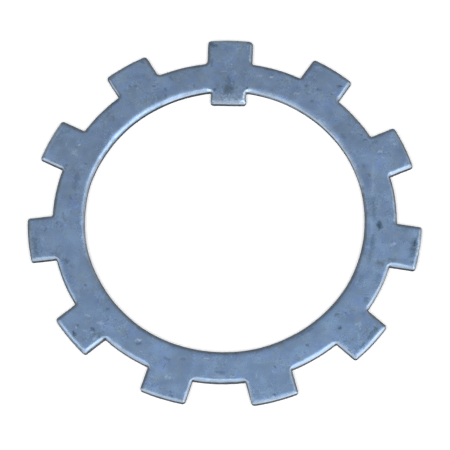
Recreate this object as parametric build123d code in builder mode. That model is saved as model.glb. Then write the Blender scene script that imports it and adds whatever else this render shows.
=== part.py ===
from build123d import *
import os
from math import hypot

os.makedirs("parts", exist_ok=True)

# Tab lock washer, blanked from one sheet. Lengths are in millimetres. The
# bore's axis is Z, the underside lies on z = 0 and the rolled face is up. The
# tongue points from +Y to the axis, and one outer tab stands in line with it.

# Sheet and ring
bore_diameter = 80.0
ring_wall = 9.1            # from the bore out to the ring's edge between tabs
thickness = 1.75

# Outer tabs, bent up into a slot of the nut when the washer is fitted
tab_count = 11
tab_width = 13.25
tab_length = 7.1           # beyond the ring's edge
tab_root_radius = 0.5

# Tongue that runs in the shaft's keyway
tongue_width = 10.3
tongue_length = 4.2        # into the bore
tongue_root_radius = 0.6

# Edge that blanking leaves: the face rolls over towards the wall, and the
# burr on the underside is broken
roll_width = 1.05
roll_depth = 0.4
face_corner_radius = 0.1   # corner left on the flat face inside the roll
burr_break = 0.12

bore_radius = bore_diameter / 2
ring_radius = bore_radius + ring_wall
tip_radius = ring_radius + tab_length
tongue_tip = bore_radius - tongue_length
corner_radius = roll_width + face_corner_radius
over_edge = min(tab_root_radius, tongue_root_radius) / 2
near = 0.001


def from_axis(vertex):
    return hypot(vertex.X, vertex.Y)


# Outline of the blank: a ring with a crown of tabs whose ends follow the tip
# circle, less a round bore with the tongue left standing in it
with BuildSketch() as keyed_bore:
    Circle(bore_radius)
    with Locations((0, tongue_tip)):
        Rectangle(tongue_width, bore_radius, align=(Align.CENTER, Align.MIN),
                  mode=Mode.SUBTRACT)
    at_root = [v for v in keyed_bore.vertices() if from_axis(v) > bore_radius - near]
    fillet(at_root, tongue_root_radius)
    at_tip = [v for v in keyed_bore.vertices() if abs(v.Y - tongue_tip) < near]
    fillet(at_tip, corner_radius)

with BuildSketch() as crown:
    with PolarLocations(tip_radius / 2, tab_count, start_angle=90):
        Rectangle(tip_radius, tab_width)
    Circle(ring_radius)

with BuildSketch() as blank:
    Circle(tip_radius)
    add(crown.sketch, mode=Mode.INTERSECT)
    at_tip = [v for v in blank.vertices() if from_axis(v) > tip_radius - near]
    fillet(at_tip, corner_radius)
    at_root = [v for v in blank.vertices() if from_axis(v) < ring_radius + near]
    fillet(at_root, tab_root_radius)
    add(keyed_bore.sketch, mode=Mode.SUBTRACT)


# Waste above the rolled edge: one section, an arc that leaves the flat face
# smoothly and ends on the wall, drawn square to the outline at its first point
# and swept once round it
def waste_over(outline, sheet):
    path = outline.moved(Location((0, 0, thickness)))
    start = path @ 0
    inward = Vector(0, 0, 1).cross(path % 0)
    if not sheet.is_inside(outline @ 0 + inward * over_edge):
        inward = inward * -1
    section = Plane(origin=start, x_dir=inward, z_dir=inward.cross(Vector(0, 0, 1)))
    with BuildPart() as waste:
        with BuildSketch(section):
            with BuildLine():
                TangentArc((roll_width, 0), (0, -roll_depth), tangent=(-1, 0))
                Polyline((0, -roll_depth), (-over_edge, -roll_depth), (-over_edge, over_edge),
                         (roll_width, over_edge), (roll_width, 0))
            make_face()
        sweep(path=path)
    return waste.part


with BuildPart() as tab_lock_washer:
    extrude(blank.sketch, amount=thickness)
    sheet = blank.sketch.faces()[0]
    for outline in [sheet.outer_wire()] + sheet.inner_wires():
        add(waste_over(outline, sheet), mode=Mode.SUBTRACT)
    underside = tab_lock_washer.faces().sort_by(Axis.Z)[0]
    chamfer(underside.edges(), burr_break)

tab_lock_washer.part.label = "tab_lock_washer"
export_step(tab_lock_washer.part, "parts/tab_lock_washer.step")
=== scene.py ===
import bpy
import numpy as np
from functools import partial
from math import atan2, ceil, cos, pi, radians, sin, sqrt, tan
from mathutils import Matrix, Vector, kdtree, noise
from mathutils.geometry import delaunay_2d_cdt


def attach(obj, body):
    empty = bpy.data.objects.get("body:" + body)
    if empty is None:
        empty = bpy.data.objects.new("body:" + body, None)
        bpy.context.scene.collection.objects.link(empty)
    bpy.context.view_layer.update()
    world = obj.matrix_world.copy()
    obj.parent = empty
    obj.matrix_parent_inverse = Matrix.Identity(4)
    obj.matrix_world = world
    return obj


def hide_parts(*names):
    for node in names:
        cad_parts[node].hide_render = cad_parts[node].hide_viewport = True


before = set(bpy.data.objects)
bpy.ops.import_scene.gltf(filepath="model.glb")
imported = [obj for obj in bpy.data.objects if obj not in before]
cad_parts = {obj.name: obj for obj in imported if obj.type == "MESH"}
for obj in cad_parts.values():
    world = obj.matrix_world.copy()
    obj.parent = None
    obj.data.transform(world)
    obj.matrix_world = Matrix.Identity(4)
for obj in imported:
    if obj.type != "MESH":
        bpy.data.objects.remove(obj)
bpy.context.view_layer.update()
print("frame loaded")

millimetre = 0.001     # lengths in the dictionaries are in millimetres

camera = {
    "aim": (0.1608, -1.3372, 0.0),
    "distance": 749.72,
    "elevation": 68.4289, "azimuth": 4.9252, "roll": -3.5006,   # degrees
    "lens": 210.217, "sensor": 36.0,
    "clip": (10.0, 20000.0),
}


def makeCamera(settings):
    elevation, azimuth = radians(settings["elevation"]), radians(settings["azimuth"])
    back = Vector((sin(azimuth) * cos(elevation), -cos(azimuth) * cos(elevation), sin(elevation)))
    level = Vector((0, 0, 1)).cross(back).normalized()
    upright = back.cross(level)
    roll = radians(settings["roll"])
    right = cos(roll) * level + sin(roll) * upright
    up = cos(roll) * upright - sin(roll) * level
    data = bpy.data.cameras.new("camera")
    data.lens, data.sensor_width = settings["lens"], settings["sensor"]
    data.clip_start, data.clip_end = (reach * millimetre for reach in settings["clip"])
    eye = bpy.data.objects.new("camera", data)
    place = (Vector(settings["aim"]) + back * settings["distance"]) * millimetre
    eye.matrix_world = Matrix.Translation(place) @ Matrix((right, up, back)).transposed().to_4x4()
    bpy.context.scene.collection.objects.link(eye)
    bpy.context.scene.camera = eye


makeCamera(camera)
print("camera placed")

# The washer is one mesh: its outline, the sheared edge round it, and both faces
washer = {
    "bore": 40.0, "ring": 49.1, "tip": 56.18, "sheet": 1.75,   # radii, then the thickness
    "tabs": 11,
    # the tabs counterclockwise from the one in line with the tongue: half the
    # width, how far each stands off its place, how far its end and the ring's edge
    # after it stray, and the radii of its roots and corners, the clockwise side first
    "tabHalfWidths": [6.60, 6.66, 6.69, 6.67, 6.76, 6.60, 6.71, 6.67, 6.63, 6.70, 6.62],
    "tabShifts": [-0.20, -0.12, -0.29, -0.27, -0.07, -0.04, -0.06, -0.05, -0.10, -0.07, -0.09],
    "tipStrays": [0.03, 0.02, 0.10, 0.01, 0.08, 0.00, 0.00, 0.04, 0.01, 0.05, 0.03],
    "gapStrays": [-0.03, -0.06, 0.02, 0.07, -0.03, 0.10, 0.01, -0.10, 0.0, -0.05, -0.03],
    "rootRadii": [(0.5, 1.0), (1.1, 0.35), (0.45, 0.35), (0.5, 0.4), (0.5, 0.35), (0.35, 0.3),
                  (0.3, 0.4), (0.4, 0.4), (0.35, 0.5), (0.3, 0.6), (0.5, 0.4)],
    "tipRadii": [(1.3, 1.0), (1.0, 0.9), (0.9, 0.65), (0.9, 0.7), (0.9, 0.8), (0.8, 1.0),
                 (1.0, 0.8), (0.8, 0.9), (0.9, 0.9), (0.62, 0.9), (0.9, 0.9)],
    "tongueHalfWidth": 5.10, "tongueTip": 35.77, "tongueRoot": 0.4, "tongueCorner": 0.8,
    "tongueShift": 0.10, "shiftFade": 1.5,     # sideways, and where that ends past the roots
    # how far the bore's wall strays towards the axis, every 15 degrees round from +X
    "boreStrays": [0.13, 0.00, -0.05, -0.04, -0.03, -0.04, 0.08, 0.18, 0.18, 0.08, 0.09, -0.08,
                   0.15, 0.10, 0.20, 0.12, -0.03, 0.04, -0.02, -0.10, -0.01, -0.04, -0.13, 0.03],
    "step": 0.5, "cornerStep": 9.0,            # along the outline: mm, degrees
    "wavers": [(0.05, 6.0), (0.015, 1.3)],     # how far the shear strays inwards, over what length
    "nick": ((55.3, -8.6), 0.35, 0.28),        # in a tab's end: place, width, depth
    # the roll's depth and width, and its power where that isn't rollPower: at the
    # tabs' ends, on the ring's edge after each tab, on a tab's side, on the clockwise
    # and counterclockwise sides that differ, in the bore every 15 degrees round from
    # +X, and on the tongue's end and sides
    "tipRolls": [(0.36, 1.15), (0.41, 1.38), (0.37, 1.15), (0.33, 1.0), (0.40, 1.4), (0.24, 1.2),
                 (0.23, 1.5), (0.28, 1.48), (0.28, 1.25), (0.34, 1.15), (0.38, 1.2)],
    "gapRolls": [(0.50, 1.8), (0.47, 1.5), (0.41, 1.38), (0.38, 1.38), (0.34, 1.5), (0.42, 1.4),
                 (0.36, 1.55), (0.25, 1.25), (0.36, 1.15), (0.36, 1.1), (0.45, 1.5)],
    "sideRoll": (0.41, 1.38),
    "lowSideRolls": {7: (0.28, 1.8), 8: (0.45, 1.6), 9: (0.42, 1.6), 10: (0.34, 1.35)},
    "highSideRolls": {1: (0.28, 0.9), 2: (0.34, 1.15), 3: (0.38, 1.4), 4: (0.52, 1.5),
                      5: (0.33, 1.25)},
    "boreRolls": [(0.46, 1.85), (0.43, 1.75), (0.42, 2.2), (0.41, 2.6), (0.35, 2.35), (0.34, 2.4),
                  (0.44, 1.7), (0.45, 2.05), (0.46, 2.35), (0.50, 2.4), (0.50, 2.35), (0.42, 1.9),
                  (0.42, 1.95), (0.44, 1.9), (0.40, 1.25), (0.40, 1.4), (0.38, 1.3),
                  *[(0.46, 1.85)] * 7],
    "tongueRoll": (0.36, 1.9, 1.7), "tongueSideRoll": (0.36, 1.6),
    "rollPower": 2.5, "rollUnevenness": 0.12, "rollPatch": 3.0,
    "cornerRoll": 1.25, "rootRoll": 0.65,      # the roll is wider on corners than in roots
    "rollSmoothing": 8, "bendSmoothing": 3,    # passes that even out the change between pieces
    "rollInsets": [0.03, 0.09, 0.16, 0.24, 0.33, 0.43, 0.54],
    "brightWall": ((15.3, 37.0), 15.0),        # burnished brighter here: place, reach
    # the torn zone tapers in to the underside, the outer edge's depth first
    "tornTo": 0.74, "tornDepths": (0.07, 0.02), "tornUnevenness": 0.25, "tornPatch": 0.9,
    "tornHeights": [0.10, 0.22, 0.34, 0.46, 0.58, 0.68], "burnishedHeights": [0.76, 0.92, 1.05],
    "lipHeight": 0.04,                         # of the sharp lip between wall and roll
    "burrBreak": 0.06, "burrFoot": 0.3,        # the broken burr, and where it rounds into the wall
    # the underside's rim, then how far from the edge it and the rest count for looks
    "underRim": 0.55, "underRimDistance": 0.45, "underDistance": 3.0,
    # the net of points inside the edges, and how clear it stays of them: on the
    # face, in a finer band along the edge, and on the underside
    "gridMargin": 1.0, "faceStep": 0.95, "bandStep": 0.34, "underStep": 1.6, "bandWidth": 2.2,
    "markGap": 0.12, "bandGap": 0.6, "faceGap": 0.2, "underGap": 1.2,
    "bandCrowding": 0.7, "faceCrowding": 0.5,  # nearest to a mark's points, in steps
}

edgeLayers, tornLayers = 20.0, (9, 2)      # noise layers: per edge, per edge and mm of height
noiseStretch = 1.6                         # brings Blender's noise to about -1 to 1
sameSpot = 1e-7                            # points nearer than this fall together
upperFace, wallFace, lowerFace = range(3)  # which material a face takes


# Points, outward normals and bend of one arc, its last point left out. The metal
# lies inside the arc or, with outward -1, outside it; bend is 1 on a corner, -1
# in a root, and 0 on a long arc
def arcPoints(settings, centre, radius, start, end, outward, bend):
    span = end - start
    count = ceil(abs(span) * radius / settings["step"])
    if bend:
        count = max(count, ceil(abs(span) / radians(settings["cornerStep"])))
    found = []
    for i in range(count):
        a = start + span * i / count
        out = Vector((cos(a), sin(a)))
        found.append((Vector(centre) + out * radius, out * outward, bend))
    return found


# The same of a straight run
def linePoints(settings, start, end):
    start, end = Vector(start), Vector(end)
    along = (end - start).normalized()
    normal = Vector((along.y, -along.x))
    count = max(1, ceil((end - start).length / settings["step"]))
    return [(start.lerp(end, i / count), normal, 0) for i in range(count)]


def turned(points, angle):
    c, s = cos(angle), sin(angle)
    spin = Matrix(((c, -s), (s, c)))
    return [(spin @ p, spin @ n, bend, roll) for p, n, bend, roll in points]


# A value that varies round the axis, from a list evenly spaced from +X
def around(point, values):
    turns = np.linspace(0, 2 * pi, len(values) + 1)
    return float(np.interp(atan2(point.y, point.x) % (2 * pi), turns, [*values, values[0]]))


# Counterclockwise, so that the metal lies on the left
def outerOutline(settings):
    arc, line = partial(arcPoints, settings), partial(linePoints, settings)
    count = settings["tabs"]

    # how far out the rounds of a root and of a corner have their centres
    def rootReach(half, r, ring):
        return sqrt((ring + r) ** 2 - (half + r) ** 2)

    def tipReach(half, r, tip):
        return sqrt((tip - r) ** 2 - (half - r) ** 2)

    points = []
    for tab in range(count):
        after = (tab + 1) % count
        half, nextHalf = (settings["tabHalfWidths"][i] for i in (tab, after))
        (rootLow, rootHigh), (nextRoot, _) = (settings["rootRadii"][i] for i in (tab, after))
        tipLow, tipHigh = settings["tipRadii"][tab]
        shift, nextShift = (settings["tabShifts"][i] / settings["tip"] for i in (tab, after))
        tip = settings["tip"] + settings["tipStrays"][tab]
        before, ring = (settings["ring"] + settings["gapStrays"][i] for i in (tab - 1, tab))
        rootLowAt, tipLowAt = rootReach(half, rootLow, before), tipReach(half, tipLow, tip)
        tipHighAt, rootHighAt = tipReach(half, tipHigh, tip), rootReach(half, rootHigh, ring)
        low, high = atan2(tipLow - half, tipLowAt), atan2(half - tipHigh, tipHighAt)
        gapStart = atan2(half + rootHigh, rootHighAt)
        gapEnd = (2 * pi / count + nextShift - shift
                  - atan2(nextHalf + nextRoot, rootReach(nextHalf, nextRoot, ring)))
        endRoll, gapRoll = settings["tipRolls"][tab], settings["gapRolls"][tab]
        lowRoll, highRoll = (settings[which].get(tab, settings["sideRoll"])
                             for which in ("lowSideRolls", "highSideRolls"))
        pieces = [
            (lowRoll, arc((rootLowAt, -half - rootLow), rootLow,
                          atan2(half + rootLow, -rootLowAt), pi / 2, -1, -1)),
            (lowRoll, line((rootLowAt, -half), (tipLowAt, -half))),
            (endRoll, arc((tipLowAt, tipLow - half), tipLow, -pi / 2, low, 1, 1)),
            (endRoll, arc((0, 0), tip, low, high, 1, 0)),
            (endRoll, arc((tipHighAt, half - tipHigh), tipHigh, high, pi / 2, 1, 1)),
            (highRoll, line((tipHighAt, half), (rootHighAt, half))),
            (highRoll, arc((rootHighAt, half + rootHigh), rootHigh, -pi / 2,
                           atan2(-half - rootHigh, -rootHighAt), -1, -1)),
            (gapRoll, arc((0, 0), ring, gapStart, gapEnd, 1, 0))]
        one = [(*point, roll) for roll, piece in pieces for point in piece]
        points += turned(one, pi / 2 + tab * 2 * pi / count + shift)
    return points


# Clockwise, so that the metal lies on the left here too
def boreOutline(settings):
    arc, line = partial(arcPoints, settings), partial(linePoints, settings)
    bore, half, end = settings["bore"], settings["tongueHalfWidth"], settings["tongueTip"]
    root, corner = settings["tongueRoot"], settings["tongueCorner"]
    rise = sqrt((bore - root) ** 2 - (half + root) ** 2)
    meet = atan2(rise, half + root)
    endRoll, sideRoll = settings["tongueRoll"], settings["tongueSideRoll"]
    pieces = [
        (None, arc((0, 0), bore, meet, -pi - meet, -1, 0)),
        (None, arc((-half - root, rise), root, pi - meet, 0, -1, -1)),
        (sideRoll, line((-half, rise), (-half, end + corner))),
        (endRoll, arc((corner - half, end + corner), corner, pi, 1.5 * pi, 1, 1)),
        (endRoll, line((corner - half, end), (half - corner, end))),
        (endRoll, arc((half - corner, end + corner), corner, -pi / 2, 0, 1, 1)),
        (sideRoll, line((half, end + corner), (half, rise))),
        (None, arc((half + root, rise), root, pi, meet, -1, -1))]
    depths, widths = zip(*settings["boreRolls"])
    points = []
    for roll, piece in pieces:
        for p, n, bend in piece:
            stray = n * around(p, settings["boreStrays"])
            if p.y > 0:
                near = min(1, max(0, half + root + settings["shiftFade"] - abs(p.x)))
                stray = stray + Vector((settings["tongueShift"] * near, 0))
            points.append((p + stray, n, bend, roll or (around(p, depths), around(p, widths))))
    return points


# Smooth noise from -1 to 1 at each 2-D point, the same on every run
def waves(points, length, layer):
    spots = [Vector((x / length, y / length, layer)) for x, y in points]
    return np.array([noise.noise(spot) for spot in spots]) * noiseStretch


# Values along a closed outline, evened out with their neighbours
def smoothed(values, passes):
    for _ in range(passes):
        values = (np.roll(values, 1, 0) + 2 * values + np.roll(values, -1, 0)) / 4
    return values


# 1 at a spot, and softly down to 0 round it
def nearness(points, spot, reach):
    return np.exp(-((points - spot) ** 2).sum(1) / reach ** 2)


# One outline with the unevenness of its shear: places, normals, and the roll's
# depth, width and power at each point
def unevenEdge(points, settings, which):
    layer = which * edgeLayers
    places, normals, bends, rolls = zip(*points)
    place, normal = np.array(places), np.array(normals)
    bend = smoothed(np.array(bends, float), settings["bendSmoothing"])
    rolls = [(*roll, settings["rollPower"])[:3] for roll in rolls]
    depth, width, power = smoothed(np.array(rolls), settings["rollSmoothing"]).T
    stray = sum(far * (waves(place, length, layer + i) - 1) / 2
                for i, (far, length) in enumerate(settings["wavers"]))
    spot, reach, cut = settings["nick"]
    stray -= cut * nearness(place, spot, reach)
    uneven = settings["rollUnevenness"]
    depth = depth * (1 + uneven * waves(place, settings["rollPatch"], layer + 2))
    wide = np.where(bend > 0, 1 + bend * (settings["cornerRoll"] - 1),
                    1 + bend * (1 - settings["rootRoll"]))
    width = width * wide * (1 + uneven * waves(place, settings["rollPatch"], layer + 3))
    return {"place": place + normal * stray[:, None], "normal": normal,
            "roll": np.c_[depth, width, power]}


# How far the face has dropped at a distance in from the wall
def rollDrop(s, roll):
    depth, width, power = roll.T
    return depth * np.clip(1 - s / width, 0, 1) ** power


# For finding the nearest of many 2-D points
def treeOf(points):
    tree = kdtree.KDTree(len(points))
    for i, (x, y) in enumerate(points):
        tree.insert((x, y, 0), i)
    tree.balance()
    return tree


# A search over the edges: for each point, how far in from the nearest edge it
# lies (less than 0 outside the metal), and the roll there
def edgeSearch(edges):
    place, normal, roll = (np.concatenate([e[which] for e in edges])
                           for which in ("place", "normal", "roll"))
    after, before = (np.concatenate([np.roll(e["place"], shift, 0) for e in edges])
                     for shift in (-1, 1))
    tree = treeOf(place)

    def search(points):
        best = np.array([tree.find((x, y, 0))[1] for x, y in points])
        away = points - place[best]
        far = np.full(len(points), np.inf)
        for other in (after, before):
            run = other[best] - place[best]
            t = np.clip((away * run).sum(1) / (run ** 2).sum(1), 0, 1)
            far = np.minimum(far, np.hypot(*(away - t[:, None] * run).T))
        inside = (away * normal[best]).sum(1) < 0
        return np.where(inside, far, -far), roll[best]

    return search


# Points in staggered rows between two corners
def hexGrid(low, high, step):
    rows = np.arange(low[1], high[1], step * sqrt(3) / 2)
    return np.array([(x + step / 2 * (i % 2), y) for i, y in enumerate(rows)
                     for x in np.arange(low[0], high[0], step)])


# Keeps the points that aren't crowded by those already there
def notCrowded(points, others, gap):
    if not len(others):
        return points
    tree = treeOf(others)
    return points[np.array([tree.find((x, y, 0))[2] > gap for x, y in points])]


# Triangles between rings of numbered points, with loose points inside, and the
# numbers of the rings' points
def fillFace(rings, loose, search):
    rim, edges, numbers = [], [], []
    for places, first in rings:
        base, count = len(rim), len(places)
        rim += [Vector(p) for p in places]
        edges += [(base + i, base + (i + 1) % count) for i in range(count)]
        numbers += range(first, first + count)
    points = rim + [Vector(p) for p in loose]
    made, _, faces, was, _, _ = delaunay_2d_cdt(points, edges, [], 0, sameSpot)
    assert len(made) == len(points), "points of a face fell together"
    order = [w[0] for w in was]
    flat, faces = np.array([(p.x, p.y) for p in made]), np.array(faces)
    middle = flat[faces].mean(1)
    keep = search(middle)[0] > 0
    # a triangle with no loose corner may lie outside the rings, along a hollow, so
    # the edges to the right of its middle are counted
    starts, ends = (np.array([rim[e[i]] for e in edges]) for i in (0, 1))
    onRim = np.array([all(order[k] < len(rim) for k in f) for f in faces])
    for i in np.flatnonzero(keep & onRim):
        x, y = middle[i]
        crossed = (starts[:, 1] > y) != (ends[:, 1] > y)
        (startX, startY), (endX, endY) = starts[crossed].T, ends[crossed].T
        crossX = startX + (y - startY) / (endY - startY) * (endX - startX)
        keep[i] = (crossX > x).sum() % 2 == 1
    return [[order[k] for k in f] for f in faces[keep]], numbers


marks = {
    "step": 0.15, "crowding": 0.7,             # of the close points round each stroke
    "spread": 1.5, "margin": 0.3,              # how far those go: half widths, and mm more
    "reach": 2, "raggedness": 0.8,             # of the mark itself, in half widths
    "ragLength": 0.32, "ragGrowth": 0.25,      # and how the length grows with the half width
    "fadeEnd": 1.3, "fade": 0.9,               # where a mark has faded out, and over how much
    "layers": 1.7,                             # noise layers from one stroke to the next
}

stainAndPaintedShade, brown, scuffAndPaintedHighlight = "stainAndPaintedShade", "brown", "scuffAndPaintedHighlight"
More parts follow.
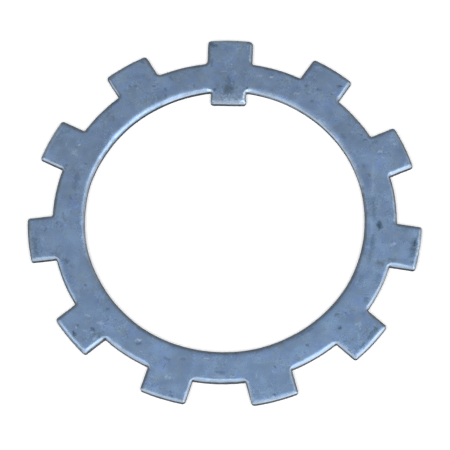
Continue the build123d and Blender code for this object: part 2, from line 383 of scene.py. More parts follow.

# Stains and scuffs on the rolled face, and painted highlights and painted shade
# along its edges: kind, half the stroke's width, how strong it is, and the x and
# y of the points along it
strokes = [
    (stainAndPaintedShade, 0.55, 0.55, -0.6, 40.3, 1.0, 40.6), (stainAndPaintedShade, 0.45, 0.55, 0.1, 43.8, 0.2, 43.0),
    (scuffAndPaintedHighlight, 0.16, 0.5, -0.4, 39.3, -0.4, 38.3), (scuffAndPaintedHighlight, 0.16, 0.5, 0.3, 39.2, 0.3, 38.3),
    (stainAndPaintedShade, 0.35, 0.6, -4.1, 40.2, -3.8, 40.5), (stainAndPaintedShade, 0.35, 0.6, 5.6, 40.5, 5.3, 40.9),
    (stainAndPaintedShade, 0.25, 0.6, 3.2, 38.0, 3.4, 38.2), (stainAndPaintedShade, 0.25, 0.4, -10.0, 41.7, -10.0, 40.7),
    (scuffAndPaintedHighlight, 0.18, 0.4, 8.1, 44.8, 9.5, 44.9), (scuffAndPaintedHighlight, 0.18, 0.4, -2.2, 46.0, -0.8, 46.1),
    (scuffAndPaintedHighlight, 0.3, 0.8, 12.2, 44.5, 12.5, 44.5), (stainAndPaintedShade, 0.25, 0.4, -0.2, 52.0, -1.2, 53.0),
    (scuffAndPaintedHighlight, 0.16, 0.5, 18.9, 39.0, 19.5, 39.7, 20.0, 39.2, 20.6, 39.6),
    (stainAndPaintedShade, 0.28, 0.5, 22.3, 41.6, 22.5, 41.8), (stainAndPaintedShade, 0.28, 0.5, 26.5, 40.5, 26.8, 40.6),
    (stainAndPaintedShade, 0.28, 0.5, 24.2, 37.0, 24.5, 37.1), (brown, 0.35, 0.6, 31.8, 41.9, 32.1, 41.6),
    (scuffAndPaintedHighlight, 0.2, 0.6, 5.8, 51.2, 5.8, 50.8), (scuffAndPaintedHighlight, 0.2, 0.6, 5.9, 50.1, 5.9, 49.8),
    (scuffAndPaintedHighlight, 0.2, 0.5, 0.5, 48.4, 0.9, 48.4), (stainAndPaintedShade, 0.3, 0.5, -18.4, 40.3, -18.2, 39.6),
    (stainAndPaintedShade, 0.25, 0.5, -18.2, 38.1, -18.0, 37.8), (stainAndPaintedShade, 0.3, 0.5, -21.9, 41.0, -21.4, 40.8),
    (stainAndPaintedShade, 0.3, 0.4, -27.6, 41.0, -26.4, 40.7), (stainAndPaintedShade, 0.2, 0.4, -33.0, 31.2, -33.0, 29.8),
    (scuffAndPaintedHighlight, 0.4, 0.3, -44.0, 19.6, -43.0, 18.7), (stainAndPaintedShade, 0.3, 0.5, -40.7, 16.3, -40.2, 16.0),
    (stainAndPaintedShade, 0.22, 0.45, -43.0, 12.6, -43.1, 10.3), (stainAndPaintedShade, 0.3, 0.4, -44.4, 6.0, -44.2, 5.3),
    (brown, 0.5, 0.35, -45.8, -0.8, -45.2, -1.7), (brown, 0.45, 0.35, -44.6, -13.2, -44.0, -14.2),
    (stainAndPaintedShade, 0.25, 0.6, -38.7, -21.1, -38.4, -21.2), (stainAndPaintedShade, 0.28, 0.7, -36.4, -33.7, -35.4, -34.5),
    (stainAndPaintedShade, 0.3, 0.6, -40.6, -33.2, -40.3, -33.3), (scuffAndPaintedHighlight, 0.4, 0.35, -34.6, -32.1, -33.4, -32.4),
    (stainAndPaintedShade, 0.3, 0.5, -32.3, -28.0, -31.9, -28.1), (scuffAndPaintedHighlight, 0.3, 0.4, -38.0, -30.0, -37.2, -30.4),
    (scuffAndPaintedHighlight, 0.18, 0.8, -23.8, -37.4, -23.2, -36.8, -22.7, -37.4, -22.2, -37.0),
    (stainAndPaintedShade, 0.3, 0.5, -23.4, -38.3, -22.4, -38.2), (brown, 0.45, 0.5, -15.4, -42.3, -14.2, -42.7),
    (brown, 0.4, 0.5, -10.7, -42.6, -9.9, -42.4), (scuffAndPaintedHighlight, 0.35, 0.4, -15.0, -47.7, -13.9, -48.0),
    (stainAndPaintedShade, 0.24, 0.45, -1.3, -46.0, 0.9, -46.1), (scuffAndPaintedHighlight, 0.16, 0.6, -4.3, -42.2, -3.2, -42.1),
    (stainAndPaintedShade, 0.35, 0.6, 24.1, -37.5, 24.4, -37.8), (brown, 0.35, 0.6, 31.9, -28.4, 32.5, -28.3),
    (stainAndPaintedShade, 0.35, 0.9, 33.1, -32.3, 33.2, -32.5), (scuffAndPaintedHighlight, 0.35, 0.4, 37.8, -31.2, 38.8, -30.8),
    (brown, 0.35, 0.6, 43.0, -32.0, 43.6, -32.5), (stainAndPaintedShade, 0.45, 0.95, 44.1, -0.9, 44.2, -1.8),
    (brown, 0.65, 0.6, 43.8, -12.6, 45.0, -13.0), (brown, 0.4, 0.6, 40.9, 14.4, 41.1, 14.0),
    (stainAndPaintedShade, 0.25, 0.5, 42.2, -6.3, 42.2, -6.9),
    (scuffAndPaintedHighlight, 0.35, 0.16, 42.2, 18.0, 42.0, 8.0, 42.0, -4.0),
    (scuffAndPaintedHighlight, 0.4, 0.4, 47.4, -7.2, 48.4, -6.8), (stainAndPaintedShade, 0.3, 0.6, 53.3, -12.2, 53.5, -12.4),
    (scuffAndPaintedHighlight, 0.16, 0.55, 43.4, 21.4, 43.9, 22.0, 44.3, 21.5, 44.8, 22.0),
    (stainAndPaintedShade, 0.25, 0.5, 38.6, 26.8, 38.9, 26.6), (scuffAndPaintedHighlight, 0.3, 0.4, 47.6, 24.1, 48.2, 23.9),
    (brown, 0.32, 0.55, 54.6, -8.4, 53.5, -8.4, 52.8, -8.1),
    (stainAndPaintedShade, 0.38, 0.95, 54.3, -5.9, 53.9, -7.1), (stainAndPaintedShade, 0.16, 0.4, 55.0, -3.3, 54.7, -5.6),
    (brown, 0.4, 0.45, 45.6, -12.0, 44.9, -12.4), (stainAndPaintedShade, 0.22, 0.9, 32.0, 42.0, 32.9, 41.9),
    (stainAndPaintedShade, 0.24, 0.7, 26.2, 40.9, 25.8, 40.7), (stainAndPaintedShade, 0.35, 0.7, 23.0, 41.9, 22.7, 41.8),
    (stainAndPaintedShade, 0.22, 0.6, 30.0, 39.3, 29.7, 39.3), (stainAndPaintedShade, 0.25, 0.5, 40.2, 25.2, 39.5, 25.1),
    (scuffAndPaintedHighlight, 0.16, 0.4, 45.0, 23.2, 44.7, 22.6), (scuffAndPaintedHighlight, 0.16, 0.4, 44.7, 21.4, 43.7, 21.4),
    (scuffAndPaintedHighlight, 0.16, 0.4, 44.7, 19.8, 45.4, 19.6),
    (stainAndPaintedShade, 0.18, 0.55, 42.9, -32.8, 41.9, -33.4, 41.6, -34.5, 41.2, -35.3),
    (stainAndPaintedShade, 0.16, 0.5, 40.3, -36.5, 39.2, -38.0), (stainAndPaintedShade, 0.32, 0.8, 33.6, -32.3, 33.5, -31.9),
    (scuffAndPaintedHighlight, 0.16, 0.4, 39.0, -30.4, 39.2, -31.4, 38.6, -31.6, 39.0, -32.5),
    (scuffAndPaintedHighlight, 0.2, 0.3, 38.5, -34.0, 38.6, -35.3), (stainAndPaintedShade, 0.26, 0.7, 15.6, -52.4, 15.3, -52.2),
    (stainAndPaintedShade, 0.25, 0.6, 15.5, -44.4, 15.2, -44.1), (scuffAndPaintedHighlight, 0.18, 0.35, 10.2, -47.6, 10.3, -46.6),
    (scuffAndPaintedHighlight, 0.2, 0.3, 15.2, -45.9, 14.6, -45.3), (stainAndPaintedShade, 0.3, 0.9, -41.3, -35.8, -41.3, -35.3),
    (stainAndPaintedShade, 0.2, 0.7, -36.4, -34.6, -35.7, -34.0), (stainAndPaintedShade, 0.18, 0.6, -35.7, -34.5, -36.5, -34.0),
    (stainAndPaintedShade, 0.25, 0.5, -34.2, -36.5, -34.1, -36.1), (scuffAndPaintedHighlight, 0.2, 0.5, -40.6, -33.9, -40.6, -33.2),
    (scuffAndPaintedHighlight, 0.16, 0.35, -37.6, -34.8, -38.6, -34.6), (scuffAndPaintedHighlight, 0.3, 0.5, -35.6, -37.4, -35.2, -36.6),
    (stainAndPaintedShade, 0.26, 0.6, -13.0, -53.6, -13.1, -53.3), (stainAndPaintedShade, 0.22, 0.6, -13.5, -52.3, -13.6, -52.0),
    (scuffAndPaintedHighlight, 0.2, 0.4, -14.7, -48.4, -15.2, -47.8, -14.7, -47.4),
    (stainAndPaintedShade, 0.16, 0.4, -15.8, -45.4, -15.2, -44.1), (stainAndPaintedShade, 0.24, 0.5, -51.1, -4.9, -50.7, -4.1),
    (stainAndPaintedShade, 0.22, 0.5, -51.7, -3.0, -51.4, -3.2), (stainAndPaintedShade, 0.2, 0.5, -51.7, -11.3, -51.6, -11.0),
    (stainAndPaintedShade, 0.26, 0.5, -47.9, -2.4, -47.6, -2.0), (scuffAndPaintedHighlight, 0.25, 0.3, -51.4, -7.2, -51.5, -7.6),
    (scuffAndPaintedHighlight, 0.2, 0.4, -43.6, 20.1, -43.1, 20.2), (scuffAndPaintedHighlight, 0.22, 0.7, -42.7, 21.9, -42.3, 22.0),
    (scuffAndPaintedHighlight, 0.18, 0.35, -44.4, 19.2, -44.5, 19.6), (stainAndPaintedShade, 0.22, 0.4, -43.7, 21.3, -43.1, 21.2),
    (scuffAndPaintedHighlight, 0.18, 0.4, -46.3, 21.8, -46.3, 22.3), (stainAndPaintedShade, 0.22, 0.5, -46.1, 15.5, -45.7, 15.6),
    # a painted highlight along a tab's end
    (scuffAndPaintedHighlight, 0.28, 0.45, -52.9, 18.5, -52.0, 20.9, -50.9, 23.3, -49.4, 26.5, -48.2, 28.2),
    (stainAndPaintedShade, 0.2, 0.5, -29.1, 41.2, -28.6, 40.7), (stainAndPaintedShade, 0.22, 0.5, -26.3, 42.3, -25.8, 41.9),
    (stainAndPaintedShade, 0.2, 0.4, -23.2, 42.8, -23.3, 42.3), (scuffAndPaintedHighlight, 0.18, 0.35, -26.4, 40.4, -26.6, 39.9),
    (stainAndPaintedShade, 0.4, 0.75, -5.6, 54.7, -4.6, 54.5), (scuffAndPaintedHighlight, 0.16, 0.4, 5.2, 54.4, 5.3, 53.0),
    # painted highlights along the end of the tab in line with the tongue
    (scuffAndPaintedHighlight, 0.2, 0.6, -3.0, 56.0, 0.0, 56.0, 2.4, 56.0), (scuffAndPaintedHighlight, 0.16, 0.4, 2.8, 55.7, 4.6, 55.5),
    (stainAndPaintedShade, 1.5, 0.36, -0.4, 39.2, 0.7, 41.4), (stainAndPaintedShade, 0.75, 0.4, 53.9, -5.6, 53.4, -10.2),
    (stainAndPaintedShade, 0.7, 0.36, 42.5, 0.8, 42.1, 6.6), (stainAndPaintedShade, 0.8, 0.7, 44.3, -2.0, 44.1, -0.5),
    (stainAndPaintedShade, 0.65, 0.36, 42.1, -8.0, 42.3, -4.8), (scuffAndPaintedHighlight, 1.0, 0.1, 46.1, -2.4, 44.8, 0.4),
    (stainAndPaintedShade, 0.55, 0.4, 41.7, -34.8, 43.2, -32.8), (stainAndPaintedShade, 0.6, 0.28, -53.0, -11.8, -53.9, -7.6),
    (stainAndPaintedShade, 0.9, 0.32, -43.0, 8.8, -42.5, 12.2), (stainAndPaintedShade, 0.5, 0.3, 41.1, -12.6, 41.7, -9.4),
    (scuffAndPaintedHighlight, 0.55, 0.14, 44.2, 3.9, 44.1, 7.0), (stainAndPaintedShade, 0.6, 0.36, 48.6, -11.7, 47.0, -11.6),
    (stainAndPaintedShade, 0.65, 0.28, 38.7, -18.9, 39.3, -16.8), (stainAndPaintedShade, 0.85, 0.26, 0.3, 53.3, -1.0, 53.7),
    (stainAndPaintedShade, 0.28, 0.3, 25.6, -32.7, 21.4, -35.6), (scuffAndPaintedHighlight, 0.45, 0.2, 1.2, -47.5, -2.0, -47.2),
    (stainAndPaintedShade, 0.5, 0.6, -4.1, 54.3, -5.2, 54.1), (stainAndPaintedShade, 0.5, 0.28, 1.6, -46.4, -0.5, -46.1),
    (stainAndPaintedShade, 0.7, 0.36, -44.4, -14.1, -45.2, -13.6), (stainAndPaintedShade, 0.65, 0.25, -45.7, 26.3, -47.7, 25.7),
    (stainAndPaintedShade, 0.65, 0.26, 43.5, -18.4, 43.8, -16.4), (scuffAndPaintedHighlight, 0.5, 0.14, 42.8, -11.6, 43.3, -10.0),
    (scuffAndPaintedHighlight, 0.3, 0.16, 41.6, -0.4, 41.4, 3.0), (stainAndPaintedShade, 0.4, 0.7, -40.8, -36.0, -41.5, -35.1),
    (stainAndPaintedShade, 0.5, 0.28, -46.8, -11.8, -48.8, -11.7), (stainAndPaintedShade, 0.65, 0.26, 43.0, 24.6, 42.0, 24.4),
    (scuffAndPaintedHighlight, 0.6, 0.1, 41.5, -18.5, 41.9, -16.8), (stainAndPaintedShade, 0.6, 0.36, 40.7, -24.3, 40.4, -23.5),
    (scuffAndPaintedHighlight, 0.65, 0.12, 42.9, -15.5, 42.6, -14.4), (stainAndPaintedShade, 0.55, 0.3, 33.9, 25.8, 33.3, 26.5),
    (stainAndPaintedShade, 0.6, 0.32, 40.0, -28.6, 39.7, -27.9), (stainAndPaintedShade, 0.5, 0.22, 51.6, -2.4, 49.8, -2.5),
    (scuffAndPaintedHighlight, 0.45, 0.3, 51.3, 17.8, 51.7, 18.5), (scuffAndPaintedHighlight, 0.7, 0.12, -51.1, -6.9, -52.1, -6.6),
    (stainAndPaintedShade, 0.35, 0.36, -5.0, 47.9, -5.1, 49.9), (stainAndPaintedShade, 0.5, 0.3, -33.2, -35.2, -34.2, -35.6),
    (scuffAndPaintedHighlight, 0.6, 0.14, 3.8, 40.9, 2.9, 40.7), (stainAndPaintedShade, 0.4, 0.24, -35.3, -35.6, -36.5, -36.6),
    (stainAndPaintedShade, 0.45, 0.3, -34.8, 31.2, -34.7, 32.2), (stainAndPaintedShade, 0.4, 0.26, -33.9, 25.5, -34.9, 26.1),
    (stainAndPaintedShade, 0.5, 0.3, -16.6, 43.3, -16.9, 44.0), (scuffAndPaintedHighlight, 0.5, 0.12, -30.5, -32.0, -30.7, -31.1),
    (stainAndPaintedShade, 0.6, 0.2, 12.7, 45.5, 11.8, 45.4), (stainAndPaintedShade, 0.4, 0.3, 39.4, 16.4, 39.3, 17.3),
    (stainAndPaintedShade, 0.35, 0.22, 10.6, -52.3, 10.4, -51.1), (stainAndPaintedShade, 0.35, 0.6, 25.7, 48.5, 25.1, 48.7),
    (stainAndPaintedShade, 0.55, 0.28, -8.5, 46.5, -9.1, 46.2), (stainAndPaintedShade, 0.4, 0.45, -25.0, 48.3, -25.6, 48.7),
    (scuffAndPaintedHighlight, 0.25, 0.36, 4.1, -47.3, 3.0, -47.3), (brown, 0.7, 0.14, 40.2, 17.0, 40.9, 9.5),
    # painted highlights: along the end of the tab in line with the tongue, on the tongue's sides
    # and by its roots
    (scuffAndPaintedHighlight, 0.35, 0.35, -4.6, 55.5, -1.5, 55.7), (scuffAndPaintedHighlight, 0.7, 0.55, 4.0, 36.8, 4.35, 38.6),
    (scuffAndPaintedHighlight, 0.55, 0.3, -4.3, 36.9, -4.3, 39.0), (scuffAndPaintedHighlight, 0.25, 0.45, -6.0, 40.15, -5.3, 39.9),
    (brown, 1.1, 0.4, -0.1, 40.9, 0.3, 39.7), (scuffAndPaintedHighlight, 0.3, 0.35, 5.6, 40.1, 6.6, 40.3),
    # painted shade: thin dark lines along edges, and darker patches over the highlights near some
    # tabs' roots and sides
    (stainAndPaintedShade, 0.2, 0.8, -46.9, -14.3, -45.1, -19.1, -41.6, -26.0),
    (stainAndPaintedShade, 0.2, 0.75, -42.0, -37.1, -38.9, -40.3), (stainAndPaintedShade, 0.2, 0.5, -32.4, -36.9, -29.2, -39.5),
    (stainAndPaintedShade, 0.2, 0.45, -45.7, -32.6, -42.0, -37.1), (stainAndPaintedShade, 0.2, 0.35, -2.5, 56.0, 5.0, 55.95),
    (stainAndPaintedShade, 0.2, 0.75, -19.2, 35.2, -23.6, 32.5, -26.9, 29.8, -29.8, 26.9, -32.5, 23.6, -35.5, 18.8),
    (stainAndPaintedShade, 0.5, 0.4, -6.9, 47.9, -10.2, 47.3), (stainAndPaintedShade, 0.5, 0.4, -31.7, 36.6, -34.0, 34.5),
    (stainAndPaintedShade, 0.5, 0.4, 20.2, 44.1, 17.2, 45.3), (stainAndPaintedShade, 0.5, 0.22, 6.1, 50.5, 6.1, 54.5),
    (stainAndPaintedShade, 0.2, 0.4, 54.6, -12.6, 55.2, -9.7), (stainAndPaintedShade, 0.2, 0.35, 32.8, 38.9, 34.9, 42.3),
    (stainAndPaintedShade, 0.2, 0.3, 34.3, -38.3, 36.9, -40.6), (stainAndPaintedShade, 0.15, 0.5, 5.05, 36.6, 5.1, 39.2),
    # a brown stroke along the tongue's end, then painted highlights over the tongue's end and along
    # tabs' ends
    (brown, 0.55, 0.6, -3.8, 36.65, 3.4, 36.65), (scuffAndPaintedHighlight, 0.9, 0.25, -3.6, 38.0, 3.6, 38.0),
    (scuffAndPaintedHighlight, 0.22, 0.3, 55.45, -5.6, 55.25, -8.0, 54.8, -10.2),
    (scuffAndPaintedHighlight, 0.4, 0.25, -52.2, 18.6, -50.5, 22.9, -48.2, 27.4),
    (scuffAndPaintedHighlight, 0.3, 0.15, -55.3, -3.6, -55.0, -7.9, -53.9, -12.3),
    (scuffAndPaintedHighlight, 0.35, 0.25, -4.6, 55.35, 0.0, 55.6, 4.6, 55.35),
]


# How far each point lies from a stroke, in millimetres
def strokeDistance(points, stroke):
    near = np.full(len(points), np.inf)
    for start, run in zip(stroke, np.diff(stroke, axis=0)):
        t = np.clip((points - start) @ run / (run @ run), 0, 1)
        near = np.minimum(near, np.hypot(*(points - start - t[:, None] * run).T))
    return near


# Close points round each stroke, so that its shape holds
def strokePoints(strokes, settings):
    step, found = settings["step"], []
    for _, half, _, *places in strokes:
        stroke, reach = np.reshape(places, (-1, 2)), half * settings["spread"] + settings["margin"]
        grid = hexGrid(stroke.min(0) - reach, stroke.max(0) + reach, step)
        grid = grid[strokeDistance(grid, stroke) < reach]
        others = np.concatenate(found) if found else []
        found.append(notCrowded(grid, others, step * settings["crowding"]))
    return np.concatenate(found)


# How strongly the strokes of one kind mark each point; every stroke has a ragged
# rim of its own, which hangs on its place in the list
def markAmounts(points, strokes, kind, settings):
    amount = np.zeros(len(points))
    for i, (which, half, strength, *places) in enumerate(strokes):
        if which != kind:
            continue
        gap = strokeDistance(points, np.reshape(places, (-1, 2)))
        close = np.flatnonzero(gap < half * settings["reach"])
        length = settings["ragLength"] + settings["ragGrowth"] * half
        rag = settings["raggedness"] * waves(points[close], length, i * settings["layers"])
        faded = np.clip((settings["fadeEnd"] - (gap[close] / half + rag)) / settings["fade"], 0, 1)
        amount[close] = np.maximum(amount[close], strength * faded)
    return amount


# The levels of one edge, from the underside's rim up the wall and in over the
# roll: how far in and how high each lies, and its distance in from the wall
def edgeLevels(edge, which, settings):
    place, roll = edge["place"], edge["roll"]
    sheet, burr, tornDepth = settings["sheet"], settings["burrBreak"], settings["tornDepths"][which]
    foot, none = burr * settings["burrFoot"], np.zeros(len(place))
    levels = [(none + settings["underRim"], none, settings["underRimDistance"]),
              (none + tornDepth + burr, none, burr), (none + tornDepth + foot, none + foot, 0)]
    uneven, (perEdge, perHeight) = settings["tornUnevenness"], tornLayers
    for z in settings["tornHeights"]:
        layer = which * perEdge + z * perHeight
        torn = 1 - uneven + uneven * waves(place, settings["tornPatch"], layer)
        levels.append((tornDepth * torn * (1 - z / settings["tornTo"]), none + z, 0))
    levels += [(none, none + z, 0) for z in settings["burnishedHeights"]]
    levels.append((none, sheet - roll[:, 0] - settings["lipHeight"], 0))
    return levels + [(none + s, sheet - rollDrop(s, roll), s) for s in settings["rollInsets"]]


# Points of the two faces inside the edges: close round the marks and along the
# edges of the upper one, wider elsewhere
def loosePoints(settings, strokes, marks, search):
    far = settings["tip"] + settings["gridMargin"]
    step, bandStep, band = settings["faceStep"], settings["bandStep"], settings["bandWidth"]
    rim = settings["rollInsets"][-1]

    def within(points, gap, upTo=np.inf):
        s = search(points)[0]
        return points[(s > gap) & (s < upTo)]

    def grid(step):
        return hexGrid((-far, -far), (far, far), step)

    marked = within(strokePoints(strokes, marks), rim + settings["markGap"])
    along = within(grid(bandStep), rim + bandStep * settings["bandGap"], band)
    along = notCrowded(along, marked, bandStep * settings["bandCrowding"])
    field = within(grid(step), band + settings["faceGap"])
    field = notCrowded(field, marked, step * settings["faceCrowding"])
    under = within(grid(settings["underStep"]), settings["underGap"])
    return np.concatenate([marked, along, field]), under


def makeWasher(settings, strokes, marks):
    sheet = settings["sheet"]
    edges = [unevenEdge(outline(settings), settings, which)
             for which, outline in enumerate((outerOutline, boreOutline))]
    search = edgeSearch(edges)
    verts, away, faces, kinds, topRings, underRings = [], [], [], [], [], []
    for which, edge in enumerate(edges):
        levels = edgeLevels(edge, which, settings)
        first, count = len(verts), len(edge["place"])
        for inset, z, s in levels:
            at = edge["place"] - edge["normal"] * inset[:, None]
            verts += [(x, y, h) for (x, y), h in zip(at, z)]
            away += [s] * count
        lip = len(levels) - len(settings["rollInsets"]) - 1
        for level in range(len(levels) - 1):
            base = first + level * count
            kinds += [lowerFace if level == 0 else wallFace if level < lip else upperFace] * count
            for i in range(count):
                j = (i + 1) % count
                faces.append((base + i, base + j, base + count + j, base + count + i))
        for rings, start in ((underRings, first), (topRings, len(verts) - count)):
            rings.append(([v[:2] for v in verts[start:start + count]], start))

    top, under = loosePoints(settings, strokes, marks, search)
    s, roll = search(top)
    farAway = np.full(len(under), settings["underDistance"])
    for rings, loose, heights, distances, kind in (
            (topRings, top, sheet - rollDrop(s, roll), s, upperFace),
            (underRings, under, np.zeros(len(under)), farAway, lowerFace)):
        triangles, numbers = fillFace(rings, loose, search)
        numbers += range(len(verts), len(verts) + len(loose))
        verts += [(x, y, z) for (x, y), z in zip(loose, heights)]
        away += list(distances)
        kinds += [kind] * len(triangles)
        for corners in triangles:
            ring = [numbers[corner] for corner in corners]
            faces.append(ring if kind == upperFace else ring[::-1])

    mesh = bpy.data.meshes.new("tabLockWasher")
    points = np.array(verts)
    mesh.from_pydata(points * millimetre, [], faces)
    mesh.polygons.foreach_set("material_index", kinds)
    mesh.polygons.foreach_set("use_smooth", [True] * len(faces))
    flat, onTop = points[:, :2], points[:, 2] > sheet / 2
    values = {"edgeDistance": np.array(away),
              "wallShine": nearness(flat, *settings["brightWall"])}
    for mark in (stainAndPaintedShade, brown, scuffAndPaintedHighlight):
        values[mark + "Mark"] = markAmounts(flat, strokes, mark, marks) * onTop
    for name, amounts in values.items():
        stored = mesh.attributes.new(name, "FLOAT", "POINT")
        stored.data.foreach_set("value", amounts.astype(np.float32))
    mesh.validate()
    piece = bpy.data.objects.new("tabLockWasher", mesh)
    bpy.context.scene.collection.objects.link(piece)
    return piece


washerPiece = makeWasher(washer, strokes, marks)
made = washerPiece.data
print("washer meshed:", len(made.vertices), "points,", len(made.polygons), "faces")


# A node with its settings, and its inputs linked or given a value
def addNode(tree, kind, inputs=None, **settings):
    node = tree.nodes.new("ShaderNode" + kind)
    for name, value in settings.items():
        setattr(node, name, value)
    for name, value in (inputs or {}).items():
        socket = node.inputs[name]
        if isinstance(value, bpy.types.NodeSocket):
            tree.links.new(value, socket)
        else:
            socket.default_value = value
    return node


def calc(tree, operation, *values):
    return addNode(tree, "Math", dict(enumerate(values)), operation=operation).outputs[0]


def times(tree, first, second):
    return calc(tree, "MULTIPLY", first, second)


def mixed(tree, amount, first, second):
    first, second = ((*c, 1) if isinstance(c, tuple) else c for c in (first, second))
    return addNode(tree, "Mix", {0: amount, 6: first, 7: second}, data_type="RGBA").outputs[2]


def scaled(tree, colour, tone):
    return addNode(tree, "VectorMath", {0: colour, "Scale": tone}, operation="SCALE").outputs[0]


def spread(tree, value, fromLow, fromHigh, low=0.0, high=1.0):
    return addNode(tree, "MapRange", {0: value, 1: fromLow, 2: fromHigh, 3: low, 4: high},
                   interpolation_type="SMOOTHSTEP").outputs[0]


middle = 0.5     # of what a noise node gives


# Noise whose cells are about a length in millimetres across
def sizedNoise(tree, vector, size, detail=2.0, distortion=0.0):
    scale = calc(tree, "DIVIDE", 1 / millimetre, size)
    return addNode(tree, "TexNoise", {"Vector": vector, "Scale": scale, "Detail": detail,
                                      "Distortion": distortion}).outputs[0]


# The same noise, about 0
def evenNoise(tree, vector, size, detail=2.0, distortion=0.0):
    return calc(tree, "SUBTRACT", sizedNoise(tree, vector, size, detail, distortion), middle)


# An empty group with its sockets; only the vector has no value of its own
def newGroup(name, inputs, outputs):
    tree = bpy.data.node_groups.new(name, "ShaderNodeTree")
    for label, value in inputs.items():
        kind = "NodeSocketVector" if value is None else "NodeSocketFloat"
        socket = tree.interface.new_socket(name=label, in_out="INPUT", socket_type=kind)
        if value is not None:
            socket.default_value = value
    for label in outputs:
        tree.interface.new_socket(name=label, in_out="OUTPUT", socket_type="NodeSocketFloat")
    given, made = tree.nodes.new("NodeGroupInput").outputs, tree.nodes.new("NodeGroupOutput").inputs
    return tree, given, made


millGrain = {
    "softSize": 3.2, "busySize": 0.8,          # in sizes of the worms and of the patches
    "busyFrom": 0.50, "busyTo": 0.60, "wormTwist": 1.6, "grainHeight": 0.5,
    "softDetail": 1.0, "busyDetail": 1.5, "wormDetail": 1.5, "grainDetail": 1.0,
}


# Rolled sheet: slow patches, a wormy mottle that is strong only where the sheet
# is busy, and fine grain. Tone is 1 on average, Height is for bump
def millGrainGroup(settings):
    tree, given, made = newGroup("Mill Grain", {
        "Vector": None, "Patch Size": 6.0, "Worm Size": 0.8, "Grain Size": 0.3, "Busy": 0.0,
        "Patch Amount": 0.1, "Worm Amount": 0.3, "Grain Amount": 0.2, "Calm": 0.2},
        ["Tone", "Height"])
    vector, patchSize, wormSize = given["Vector"], given["Patch Size"], given["Worm Size"]
    patch = evenNoise(tree, vector, patchSize)
    softSize = times(tree, wormSize, settings["softSize"])
    soft = evenNoise(tree, vector, softSize, settings["softDetail"])
    busySize = times(tree, patchSize, settings["busySize"])
    busy = spread(tree, sizedNoise(tree, vector, busySize, settings["busyDetail"]),
                  settings["busyFrom"], settings["busyTo"], given["Calm"], 1.0)
    worm = evenNoise(tree, vector, wormSize, settings["wormDetail"], settings["wormTwist"])
    worm = times(tree, worm, calc(tree, "MAXIMUM", busy, given["Busy"]))
    grain = evenNoise(tree, vector, given["Grain Size"], settings["grainDetail"])
    tone = 1.0
    for value, amount in ((calc(tree, "ADD", patch, soft), "Patch Amount"), (worm, "Worm Amount"),
                          (grain, "Grain Amount")):
        tone = calc(tree, "MULTIPLY_ADD", value, given[amount], tone)
    tree.links.new(tone, made["Tone"])
    height = calc(tree, "ADD", worm, middle)
    height = calc(tree, "MULTIPLY_ADD", grain, settings["grainHeight"], height)
    tree.links.new(height, made["Height"])
    return tree


tintDrift = {"finer": 0.42, "detail": 1.0}     # the second noise's size, in sizes of the first


# Slow drift between two tints of the oiled steel
def tintDriftGroup(settings):
    tree, given, made = newGroup(
        "Tint Drift", {"Vector": None, "Size": 5.0, "Reach": 0.12}, ["Drift"])
    sizes = given["Size"], times(tree, given["Size"], settings["finer"])
    noises = (sizedNoise(tree, given["Vector"], size, settings["detail"]) for size in sizes)
    both = times(tree, calc(tree, "ADD", *noises), 1 / 2)
    low, high = (calc(tree, sign, middle, given["Reach"]) for sign in ("SUBTRACT", "ADD"))
    tree.links.new(spread(tree, both, low, high), made["Drift"])
    return tree


specks = {"full": 0.5, "gone": 1.3, "detail": 1.0}     # how far out a speck fades, in sizes


# Scattered specks: one to a cell, in a share of the cells
def specksGroup(settings):
    tree, given, made = newGroup(
        "Specks", {"Vector": None, "Spacing": 3.0, "Size": 0.25, "Share": 0.5}, ["Mask"])
    scale = calc(tree, "DIVIDE", 1 / millimetre, given["Spacing"])
    cells = addNode(tree, "TexVoronoi", {"Vector": given["Vector"], "Scale": scale}).outputs
    gap = times(tree, cells["Distance"], given["Spacing"])
    rough = evenNoise(tree, given["Vector"], given["Size"], settings["detail"])
    gap = calc(tree, "MULTIPLY_ADD", rough, given["Size"], gap)
    full, gone = (times(tree, given["Size"], settings[which]) for which in ("full", "gone"))
    spot = spread(tree, gap, full, gone, 1.0, 0.0)
    pick = addNode(tree, "SeparateColor", {"Color": cells["Color"]}).outputs[0]
    shown = calc(tree, "LESS_THAN", pick, given["Share"])
    tree.links.new(times(tree, spot, shown), made["Mask"])
    return tree


# A band along the sheared edge with a ragged inner side
def edgeBandGroup():
    tree, given, made = newGroup("Edge Band", {
        "Vector": None, "Distance": 0.0, "Full To": 0.3, "Gone By": 1.2, "Raggedness": 0.3,
        "Rag Size": 1.0}, ["Mask"])
    rag = evenNoise(tree, given["Vector"], given["Rag Size"])
    gap = calc(tree, "MULTIPLY_ADD", rag, given["Raggedness"], given["Distance"])
    tree.links.new(spread(tree, gap, given["Full To"], given["Gone By"], 1.0, 0.0), made["Mask"])
    return tree


groups = {"grain": millGrainGroup(millGrain), "drift": tintDriftGroup(tintDrift),
          "specks": specksGroup(specks), "band": edgeBandGroup()}
print("node groups made")


def placed(tree, which, inputs):
    return addNode(tree, "Group", inputs, node_tree=groups[which]).outputs


def newMaterial(name):
    material = bpy.data.materials.new(name)
    material.use_nodes = True
    tree = material.node_tree
    where = addNode(tree, "TexCoord").outputs["Object"]
    return material, tree, tree.nodes["Principled BSDF"], where


def attribute(tree, name):
    return addNode(tree, "Attribute", attribute_name=name).outputs["Fac"]


def moved(tree, where, offset=(0, 0, 0), scale=(1, 1, 1)):
    return addNode(tree, "Mapping", {0: where, 1: offset, 3: scale}).outputs[0]


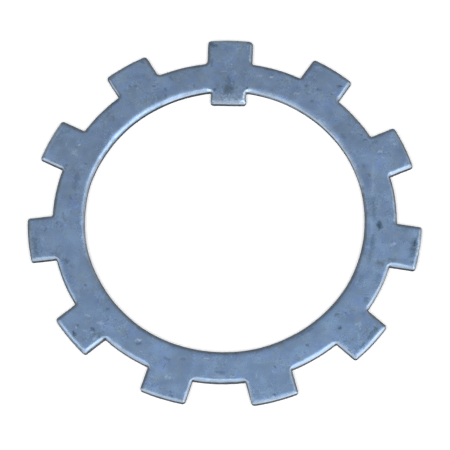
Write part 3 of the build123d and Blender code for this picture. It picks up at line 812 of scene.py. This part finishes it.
# What the two finishes have in common at the shader
def finishShader(tree, shader, settings, colour, roughness, height):
    bump = addNode(tree, "Bump", {"Strength": settings["bump"], "Height": height,
                                  "Distance": settings["bumpDistance"] * millimetre})
    tree.links.new(colour, shader.inputs["Base Color"])
    tree.links.new(roughness, shader.inputs["Roughness"])
    tree.links.new(bump.outputs[0], shader.inputs["Normal"])
    shader.inputs["Metallic"].default_value = settings["metallic"]
    shader.inputs["Specular IOR Level"].default_value = settings["specular"]


rolledSteel = {
    # painted shade and painted light, with a shift of tint too: the face is darker and warmer to
    # the far left, lighter and bluer to the near right
    "farShadedTone": (0.126, 0.178, 0.266), "nearLitTone": (0.127, 0.200, 0.319),   # far left, near right
    "lean": (3.0, -6.0, 0.0), "leanStart": 0.25,       # from warm to cool, per metre
    "slowDrift": {"Size": 11.0, "Reach": 0.2}, "slowAmount": 0.5,
    "blue": (0.119, 0.182, 0.330), "grey": (0.136, 0.192, 0.258), "tintAmount": 0.7,
    "tintDrift": {"Size": 4.0, "Reach": 0.12}, "tintOffset": (0.31, 0.17, 0.23),
    "strengthDrift": {"Size": 7.0, "Reach": 0.15},
    "grain": {"Patch Size": 5.0, "Worm Size": 1.0, "Grain Size": 0.34, "Calm": 0.2,
              "Patch Amount": 0.32, "Worm Amount": 0.75, "Grain Amount": 0.08},
    # the roll's colour is painted shade: the rolled edge is darker all round, and the lamps lift it
    # to a highlight only on the lit side
    "roll": (0.094, 0.119, 0.153), "rollBusy": 0.6,
    "rollBand": {"Full To": 0.45, "Gone By": 1.25, "Raggedness": 0.8, "Rag Size": 1.2},
    # the lip's colour is painted shade: a thin dark line along the very edge
    "lip": (0.030, 0.038, 0.058), "lipShadeAmount": 0.15,
    "lipShadeBand": {"Full To": 0.0, "Gone By": 0.2, "Raggedness": 0.15, "Rag Size": 0.7},
    "pits": {"Spacing": 2.8, "Size": 0.28, "Share": 0.4},
    "pitsFrom": 1.2, "pitsTo": 2.6, "pitAmount": 0.4,  # they come in away from the edge
    "rubs": {"Spacing": 3.6, "Size": 0.24, "Share": 0.35}, "rubAmount": 0.3,
    "rubOffset": (0.37, 0.11, 0.05), "rubScale": (0.6, 1.3, 1.0),
    # the light colour paints scuffs and painted highlights, the dark one stains, pits and painted
    # shade
    stainAndPaintedShade: (0.030, 0.060, 0.092), brown: (0.075, 0.085, 0.100), scuffAndPaintedHighlight: (0.290, 0.370, 0.450),
    "roughness": 0.27, "rollRoughness": 0.22, "roughnessSwing": 0.12,
    "bump": 0.12, "bumpDistance": 0.04, "metallic": 0.95, "specular": 0.5,
}


def rolledSteelMaterial(settings, name, upper):
    material, tree, shader, where = newMaterial(name)
    distance = attribute(tree, "edgeDistance")
    edge = {"Vector": where, "Distance": distance}
    roll, lip = (placed(tree, "band", {**edge, **settings[which]})["Mask"]
                 for which in ("rollBand", "lipShadeBand"))
    busy = times(tree, roll, settings["rollBusy"])
    grain = placed(tree, "grain", {"Vector": where, "Busy": busy, **settings["grain"]})
    elsewhere = moved(tree, where, settings["tintOffset"])
    slow, bluer, strength = (
        placed(tree, "drift", {"Vector": vector, **settings[which]})["Drift"] for which, vector in (
            ("slowDrift", where), ("tintDrift", elsewhere), ("strengthDrift", where)))
    # by place: painted shade to the far left, painted light to the near right
    lean = addNode(tree, "VectorMath", {0: where, 1: settings["lean"]}, operation="DOT_PRODUCT")
    lean = calc(tree, "ADD", lean.outputs["Value"], settings["leanStart"])
    nearLit = calc(tree, "MULTIPLY_ADD", slow, settings["slowAmount"], lean)
    nearLit = addNode(tree, "Clamp", {"Value": nearLit}).outputs[0]
    colour = mixed(tree, nearLit, settings["farShadedTone"], settings["nearLitTone"])
    tint = mixed(tree, bluer, settings["grey"], settings["blue"])
    colour = mixed(tree, times(tree, strength, settings["tintAmount"]), colour, tint)
    # painted shade: the rolled edge takes the darker roll colour
    colour = scaled(tree, mixed(tree, roll, colour, settings["roll"]), grain["Tone"])
    pits = placed(tree, "specks", {"Vector": where, **settings["pits"]})["Mask"]
    pits = times(tree, pits, spread(tree, distance, settings["pitsFrom"], settings["pitsTo"],
                                    0.0, settings["pitAmount"]))
    colour = mixed(tree, pits, colour, settings[stainAndPaintedShade])
    elsewhere = moved(tree, where, settings["rubOffset"], settings["rubScale"])
    rubs = placed(tree, "specks", {"Vector": elsewhere, **settings["rubs"]})["Mask"]
    colour = mixed(tree, times(tree, rubs, settings["rubAmount"]), colour, settings[scuffAndPaintedHighlight])
    # the strokes: stains and scuffs, and painted highlights and painted shade along the edges
    if upper:
        for kind in (scuffAndPaintedHighlight, brown, stainAndPaintedShade):
            colour = mixed(tree, attribute(tree, kind + "Mark"), colour, settings[kind])
    # painted shade: a thin darker line along the edge
    colour = mixed(tree, times(tree, lip, settings["lipShadeAmount"]), colour, settings["lip"])
    swing = calc(tree, "SUBTRACT", grain["Tone"], 1.0)
    plain = spread(tree, roll, 0.0, 1.0, settings["roughness"], settings["rollRoughness"])
    roughness = calc(tree, "MULTIPLY_ADD", swing, settings["roughnessSwing"], plain)
    finishShader(tree, shader, settings, colour, roughness, grain["Height"])
    return material


shearedWall = {
    "torn": (0.016, 0.022, 0.034), "burnished": (0.021, 0.029, 0.045), "bright": (0.24, 0.30, 0.38),
    "zoneFrom": 0.64, "zoneTo": 0.78,          # from torn to burnished, up the wall
    "zoneSwing": 0.4, "zonePatch": 0.8,
    "streak": (1.0, 1.0, 0.12),                # draws the grain out up the wall
    "grain": {"Patch Size": 2.5, "Worm Size": 0.4, "Grain Size": 0.16,
              "Patch Amount": 0.6, "Worm Amount": 1.2, "Grain Amount": 0.8},
    "tornRoughness": 0.65, "burnishedRoughness": 0.4, "metallic": 0.15, "specular": 0.1,
    "bump": 0.25, "bumpDistance": 0.06,
}


def shearedWallMaterial(settings):
    material, tree, shader, where = newMaterial("Sheared wall")
    streaky = moved(tree, where, scale=settings["streak"])
    grain = placed(tree, "grain", {"Vector": streaky, **settings["grain"]})
    swing = evenNoise(tree, where, settings["zonePatch"])
    high = addNode(tree, "SeparateXYZ", {0: where}).outputs[2]
    high = calc(tree, "MULTIPLY_ADD", swing, settings["zoneSwing"] * millimetre, high)
    zone = spread(tree, high, settings["zoneFrom"] * millimetre, settings["zoneTo"] * millimetre)
    bare = mixed(tree, attribute(tree, "wallShine"), settings["burnished"], settings["bright"])
    colour = scaled(tree, mixed(tree, zone, settings["torn"], bare), grain["Tone"])
    roughness = spread(tree, zone, 0.0, 1.0,
                       settings["tornRoughness"], settings["burnishedRoughness"])
    finishShader(tree, shader, settings, colour, roughness, grain["Height"])
    return material


# in the order of upperFace, wallFace and lowerFace
for material in (rolledSteelMaterial(rolledSteel, "Rolled face", True),
                 shearedWallMaterial(shearedWall),
                 rolledSteelMaterial(rolledSteel, "Rolled underside", False)):
    washerPiece.data.materials.append(material)
print("materials made")

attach(washerPiece, "root")
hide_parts("tab_lock_washer")

studio = {
    # each lamp: direction from the washer, half the width and height that it
    # fills seen from there in degrees, brightness, and whether it lights the floor
    "softboxes": [
        ((0.00, -0.36, 0.93), (35, 25), 3.2, True),      # overhead, a little to the front
        ((-0.74, -0.27, 0.62), (11, 14), 2.4, False),    # its left end
        ((0.49, -0.14, 0.86), (20, 19), 2.5, False),     # its bright end
        # the rest make the rolled edge shine: on the right, then on the left
        ((0.80, -0.12, 0.58), (9, 14), 2.4, False),
        ((0.60, 0.50, 0.62), (13, 9), 0.8, False),
        ((0.36, 0.03, 0.93), (7, 7), 1.5, False),
        ((0.37, 0.14, 0.92), (9, 5), 2.8, False),
        ((0.14, 0.08, 0.99), (7, 5), 0.8, False),
        ((0.46, 0.32, 0.83), (10, 5), 2.4, False),
        ((0.76, 0.24, 0.60), (10, 12), 1.8, False),
        ((0.43, 0.45, 0.78), (10, 6), 0.9, False),
        ((0.40, 0.57, 0.72), (10, 6), 0.4, False),
        ((-0.42, 0.10, 0.90), (9, 6), 1.6, False),
        ((-0.66, 0.05, 0.75), (9, 11), 2.8, False),
        ((-0.18, -0.12, 0.98), (8, 5), 0.9, False),
        ((-0.40, 0.34, 0.85), (8, 4), 0.6, False),
    ],
    "softboxDistance": 3000.0, "skyLight": 0.08,
    "floorSize": 6000.0, "floorGap": 0.02, "floorColour": (0.93, 0.93, 0.93), "floorGlow": 0.22,
}


# 1 where the camera looks, directly or in a reflection, and 0 for stray light
def seenRays(tree):
    path = addNode(tree, "LightPath").outputs
    mirrored = calc(tree, "MAXIMUM", path["Is Glossy Ray"], path["Is Transmission Ray"])
    return calc(tree, "MAXIMUM", path["Is Camera Ray"], mirrored)


def makeStudio(settings):
    world = bpy.data.worlds.new("studio")
    bpy.context.scene.world = world
    world.use_nodes = True
    tree = world.node_tree
    strength = spread(tree, seenRays(tree), 0.0, 1.0, settings["skyLight"], 1.0)
    sky = tree.nodes["Background"]
    sky.inputs["Color"].default_value = (1, 1, 1, 1)
    tree.links.new(strength, sky.inputs["Strength"])

    distance = settings["softboxDistance"] * millimetre
    for toward, spans, brightness, lightsFloor in settings["softboxes"]:
        lamp = bpy.data.lights.new("softbox", "AREA")
        lamp.shape = "RECTANGLE"
        lamp.size, lamp.size_y = (2 * distance * tan(radians(span)) for span in spans)
        lamp.energy = brightness * pi * lamp.size * lamp.size_y
        softbox = bpy.data.objects.new("softbox", lamp)
        direction = Vector(toward).normalized()
        softbox.location = direction * distance
        softbox.rotation_euler = direction.to_track_quat("Z", "Y").to_euler()
        softbox.visible_camera, softbox.visible_diffuse = False, lightsFloor
        bpy.context.scene.collection.objects.link(softbox)

    half, down = settings["floorSize"] * millimetre / 2, -settings["floorGap"] * millimetre
    corners = [(x * half, y * half, down) for x, y in ((-1, -1), (1, -1), (1, 1), (-1, 1))]
    plane = bpy.data.meshes.new("floor")
    plane.from_pydata(corners, [], [(0, 1, 2, 3)])
    floor = bpy.data.objects.new("floor", plane)
    paper = bpy.data.materials.new("White paper")
    paper.use_nodes = True
    shader = paper.node_tree.nodes["Principled BSDF"]
    for name, value in (("Base Color", (*settings["floorColour"], 1)), ("Roughness", 1.0),
                        ("Specular IOR Level", 0.0), ("Emission Strength", settings["floorGlow"])):
        shader.inputs[name].default_value = value
    paper.node_tree.links.new(seenRays(paper.node_tree), shader.inputs["Emission Color"])
    plane.materials.append(paper)
    bpy.context.scene.collection.objects.link(floor)


makeStudio(studio)
bpy.context.scene.view_settings.view_transform = "Standard"
print("studio lit")
